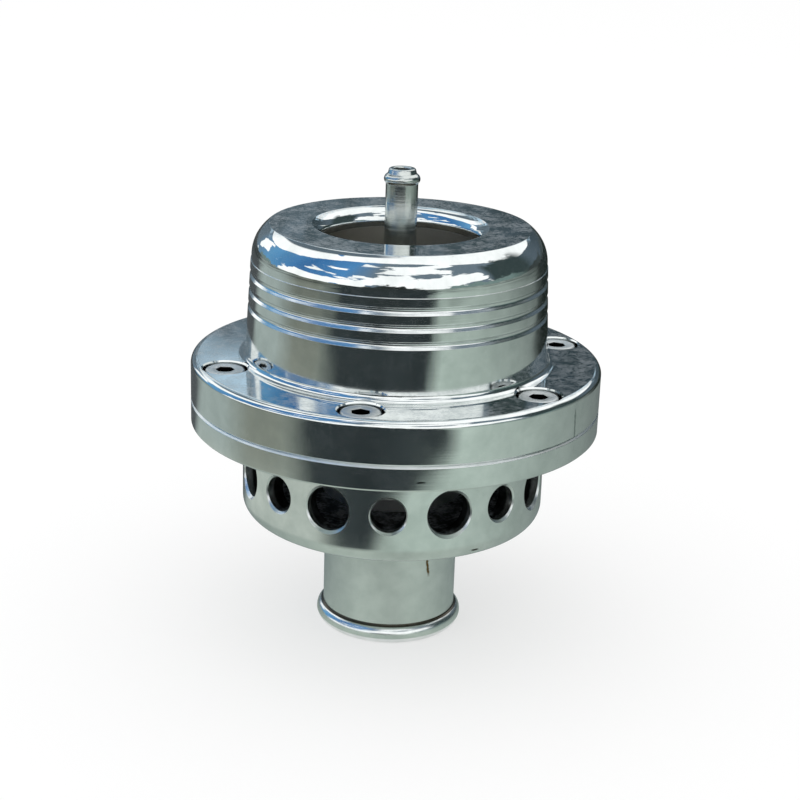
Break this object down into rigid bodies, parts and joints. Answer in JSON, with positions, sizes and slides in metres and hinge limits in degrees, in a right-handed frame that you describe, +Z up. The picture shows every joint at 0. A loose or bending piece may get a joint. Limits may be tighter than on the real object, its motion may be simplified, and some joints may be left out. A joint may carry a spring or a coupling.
{
  "type": "blow off valve",
  "caption": "Polished round valve with a beaded inlet pipe, a vented lower body, bolted flanges, a grooved cap with a central well and a vacuum nipple; a sprung diaphragm lifts its poppet.",
  "frame": {"origin": "Middle of the inlet pipe's lower end, which the valve stands on", "axes": "+Z up along the valve's axis, front of the picture along -Y, +X to the right"},
  "size_m": [0.075, 0.075, 0.0869],
  "materials": {
    "polished_aluminium": "mirror polished",
    "turned_aluminium": "fine turned",
    "screw_steel": "bright zinc plated",
    "pressed_steel": "zinc plated sheet",
    "turned_steel": "bright turned",
    "spring_steel": "drawn wire",
    "rubber": "moulded matt"
  },
  "bodies": {
    "housing": {"inlet_pipe": "polished_aluminium", "lower_housing": "polished_aluminium", "upper_housing": "polished_aluminium", "vacuum_nipple": "turned_aluminium", "nipple_seal": "rubber", "flange_screws": "screw_steel", "diaphragm": "rubber", "return_spring": "spring_steel", "spring_shim": "pressed_steel"},
    "valve": {"diaphragm_plate": "pressed_steel", "spring_cup": "pressed_steel", "valve_stem": "turned_steel", "valve_head": "turned_aluminium", "seat_seal": "rubber", "stem_washer": "pressed_steel", "stem_nut": "turned_steel"}
  },
  "joints": [
    {"name": "valve_lift", "type": "slide", "parent": "housing", "child": "valve", "axis": [0, 0, 1], "range_m": [0, 0.007], "stiffness_N_per_m": 2500, "springref_m": -0.008, "deforming": ["return_spring", "diaphragm"]}
  ]
}
